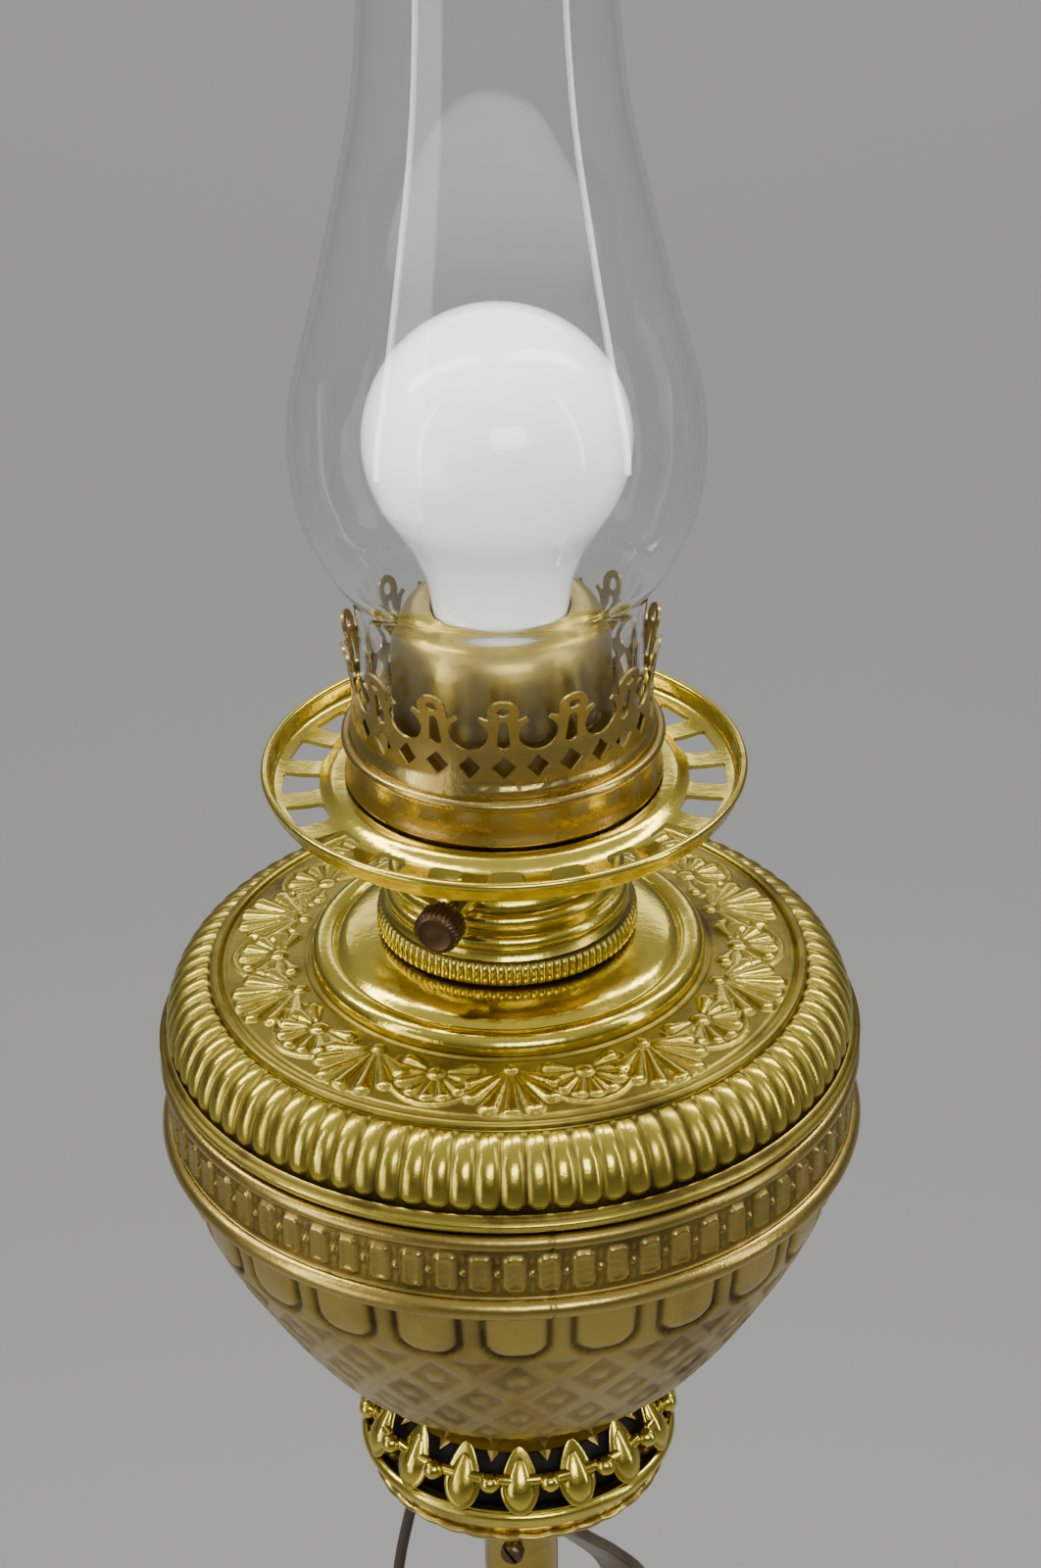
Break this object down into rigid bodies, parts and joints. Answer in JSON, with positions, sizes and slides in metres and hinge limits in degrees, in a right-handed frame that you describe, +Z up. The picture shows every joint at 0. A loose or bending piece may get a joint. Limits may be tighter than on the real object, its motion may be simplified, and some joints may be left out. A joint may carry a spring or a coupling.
{
  "type": "floor lamp",
  "caption": "Brass floor lamp of the piano-lamp kind: an oil lamp with font, pierced gallery and glass chimney, wired for an electric bulb, on a four-legged strap stand.",
  "frame": {"origin": "on the floor, under the post's axis", "axes": "+Z up along the post; -Y faces the viewer"},
  "size_m": [0.3466, 0.3466, 1.48],
  "materials": {
    "brass": "polished, lacquered, worn",
    "aged": "antique brass, satin",
    "dark": "dark bronzed",
    "iron": "plain",
    "glass": "clear",
    "bulb": "soft white",
    "porcelain": "glazed insulator",
    "cord": "brown lamp cord"
  },
  "bodies": {
    "stand": {"leg_1": "aged", "leg_2": "aged", "leg_3": "aged", "leg_4": "aged", "foot_1": "aged", "foot_2": "aged", "foot_3": "aged", "foot_4": "aged", "base_hub": "aged", "post_tube": "aged", "stem_head": "aged", "knop_base": "aged", "leaf_washer": "aged", "urn_bowl": "aged", "urn_band": "aged", "leg_rivet_1": "brass", "leg_rivet_2": "brass", "leg_rivet_3": "brass", "leg_rivet_4": "brass", "base_finial": "brass", "lower_knuckle": "brass", "middle_knuckle": "brass", "handle_band": "brass", "handle_rivet_upper": "brass", "handle_rivet_lower": "brass", "openwork_knop": "brass", "plug_blade_left": "brass", "plug_blade_right": "brass", "handle_strap": "dark", "set_screw": "dark", "through_rod": "iron", "urn_nut": "iron", "cord_bushing": "cord", "cord_lead": "cord", "cord_coil": "cord", "cord_tie": "cord", "plug_body": "cord"},
    "font": {"font_shell": "brass", "font_cover": "brass", "font_collar": "brass", "burner_body": "brass", "shade_ring": "brass", "socket_cup": "aged", "socket_shell": "brass", "socket_insulator": "porcelain", "socket_screw_liner": "brass", "socket_pipe": "brass"},
    "gallery": {"gallery_base": "brass", "gallery_coronet": "brass"},
    "chimney_glass": {"chimney": "glass"},
    "bulb": {"bulb_glass": "bulb", "bulb_cap": "brass"},
    "key": {"key": "dark"}
  },
  "joints": [
    {"name": "font_lift", "type": "slide", "parent": "stand", "child": "font", "axis": [0, 0, 1], "range_m": [0, 0.09]},
    {"name": "gallery_lift", "type": "slide", "parent": "font", "child": "gallery", "axis": [0, 0, 1], "range_m": [0, 0.02]},
    {"name": "chimney_lift", "type": "slide", "parent": "gallery", "child": "chimney_glass", "axis": [0, 0, 1], "range_m": [0, 0.15]},
    {"name": "bulb_unscrew", "type": "slide", "parent": "font", "child": "bulb", "axis": [0, 0, 1], "range_m": [0, 0.03]},
    {"name": "key_turn", "type": "hinge", "parent": "font", "child": "key", "pos_m": [0, 0, 1.1975], "axis": [-0.3681, -0.9298, 0], "continuous": true}
  ]
}
